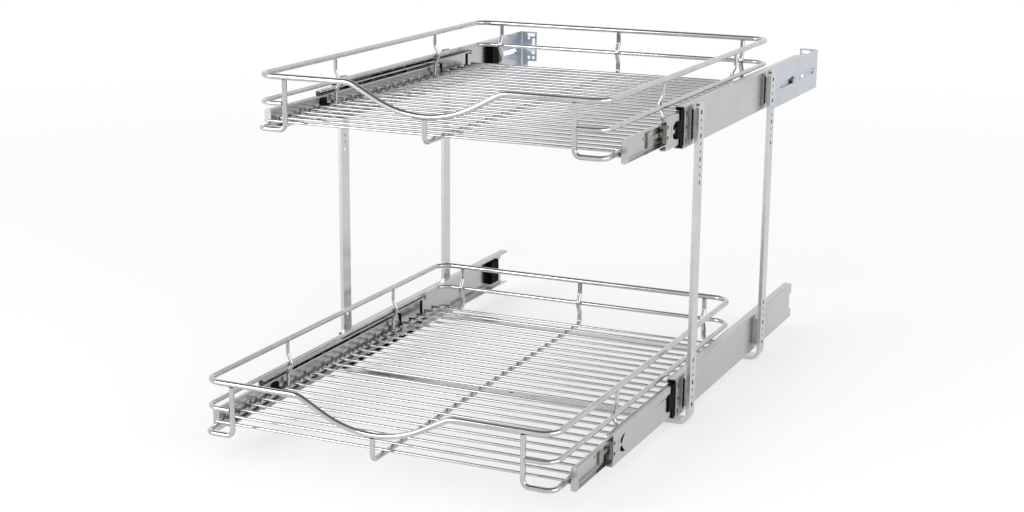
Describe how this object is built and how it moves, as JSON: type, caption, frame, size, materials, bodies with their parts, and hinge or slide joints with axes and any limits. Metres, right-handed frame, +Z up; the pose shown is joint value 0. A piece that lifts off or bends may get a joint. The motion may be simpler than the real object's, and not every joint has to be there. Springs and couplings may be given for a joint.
{
  "type": "pull out cabinet basket",
  "caption": "Two tier pull out wire basket unit for a base cabinet: strip steel frames, ball bearing drawer slides and plated wire baskets with a dipped front rail.",
  "frame": {"origin": "centre of the screw hole in the front frame's floor bar, on the cabinet floor", "axes": "+X to the right seen from the door, +Y into the cabinet, +Z up; the baskets pull out along -Y"},
  "size_m": [0.433, 0.8218, 0.3866],
  "materials": {
    "frame_steel": "zinc plated strip, satin",
    "slide_zinc": "zinc plated rolled sheet, satin",
    "plated_wire": "bright plated wire",
    "bracket_zinc": "bluish zinc plate",
    "screw_steel": "plated screws",
    "ball_steel": "polished steel balls",
    "black_plastic": "moulded black plastic",
    "tan_plastic": "moulded tan plastic"
  },
  "bodies": {
    "cabinet_frame": {"front_frame": "frame_steel", "rear_frame": "frame_steel", "upper_left_cabinet_member": "slide_zinc", "upper_right_cabinet_member": "slide_zinc", "lower_left_cabinet_member": "slide_zinc", "lower_right_cabinet_member": "slide_zinc", "upper_front_guides": "black_plastic", "lower_front_guides": "black_plastic", "upper_rear_bumpers": "black_plastic", "lower_rear_bumpers": "black_plastic", "upper_left_rear_bracket": "bracket_zinc", "upper_right_rear_bracket": "bracket_zinc", "bracket_screws": "screw_steel"},
    "upper_middle_slides": {"upper_left_middle_member": "slide_zinc", "upper_right_middle_member": "slide_zinc", "upper_middle_end_caps": "black_plastic", "upper_middle_front_buffers": "tan_plastic"},
    "upper_basket": {"upper_left_drawer_member": "slide_zinc", "upper_right_drawer_member": "slide_zinc", "upper_drawer_stops": "black_plastic", "upper_drawer_catches": "tan_plastic", "upper_left_support_angle": "slide_zinc", "upper_right_support_angle": "slide_zinc", "upper_angle_screws": "screw_steel", "upper_basket_clips": "black_plastic", "upper_top_rail": "plated_wire", "upper_middle_rail": "plated_wire", "upper_left_hoop": "plated_wire", "upper_centre_hoop": "plated_wire", "upper_right_hoop": "plated_wire", "upper_floor_wires": "plated_wire", "upper_side_uprights": "plated_wire"},
    "upper_outer_ball_cages": {"upper_outer_cages": "black_plastic", "upper_outer_balls": "ball_steel"},
    "upper_inner_ball_cages": {"upper_inner_cages": "black_plastic", "upper_inner_balls": "ball_steel"},
    "lower_middle_slides": {"lower_left_middle_member": "slide_zinc", "lower_right_middle_member": "slide_zinc", "lower_middle_end_caps": "black_plastic", "lower_middle_front_buffers": "tan_plastic"},
    "lower_basket": {"lower_left_drawer_member": "slide_zinc", "lower_right_drawer_member": "slide_zinc", "lower_drawer_stops": "black_plastic", "lower_drawer_catches": "tan_plastic", "lower_left_support_angle": "slide_zinc", "lower_right_support_angle": "slide_zinc", "lower_angle_screws": "screw_steel", "lower_basket_clips": "black_plastic", "lower_top_rail": "plated_wire", "lower_middle_rail": "plated_wire", "lower_left_hoop": "plated_wire", "lower_centre_hoop": "plated_wire", "lower_right_hoop": "plated_wire", "lower_floor_wires": "plated_wire", "lower_side_uprights": "plated_wire"},
    "lower_outer_ball_cages": {"lower_outer_cages": "black_plastic", "lower_outer_balls": "ball_steel"},
    "lower_inner_ball_cages": {"lower_inner_cages": "black_plastic", "lower_inner_balls": "ball_steel"}
  },
  "joints": [
    {"name": "upper_middle_slide", "type": "slide", "parent": "cabinet_frame", "child": "upper_middle_slides", "axis": [0, -1, 0], "range_m": [-0.0475, 0.1775]},
    {"name": "upper_basket_slide", "type": "slide", "parent": "upper_middle_slides", "child": "upper_basket", "axis": [0, -1, 0], "range_m": [-0.1045, 0.1205]},
    {"name": "upper_outer_cage_roll", "type": "slide", "parent": "cabinet_frame", "child": "upper_outer_ball_cages", "axis": [0, -1, 0], "range_m": [-0.02385, 0.08885]},
    {"name": "upper_inner_cage_roll", "type": "slide", "parent": "upper_middle_slides", "child": "upper_inner_ball_cages", "axis": [0, -1, 0], "range_m": [-0.05235, 0.06035]},
    {"name": "lower_middle_slide", "type": "slide", "parent": "cabinet_frame", "child": "lower_middle_slides", "axis": [0, -1, 0], "range_m": [-0.179, 0.046]},
    {"name": "lower_basket_slide", "type": "slide", "parent": "lower_middle_slides", "child": "lower_basket", "axis": [0, -1, 0], "range_m": [-0.0869, 0.1381]},
    {"name": "lower_outer_cage_roll", "type": "slide", "parent": "cabinet_frame", "child": "lower_outer_ball_cages", "axis": [0, -1, 0], "range_m": [-0.0896, 0.0231]},
    {"name": "lower_inner_cage_roll", "type": "slide", "parent": "lower_middle_slides", "child": "lower_inner_ball_cages", "axis": [0, -1, 0], "range_m": [-0.04355, 0.06915]}
  ],
  "couplings": [
    {"joint": "upper_outer_cage_roll", "follows": "upper_middle_slide", "ratio": 0.5},
    {"joint": "upper_inner_cage_roll", "follows": "upper_basket_slide", "ratio": 0.5},
    {"joint": "lower_outer_cage_roll", "follows": "lower_middle_slide", "ratio": 0.5},
    {"joint": "lower_inner_cage_roll", "follows": "lower_basket_slide", "ratio": 0.5}
  ]
}
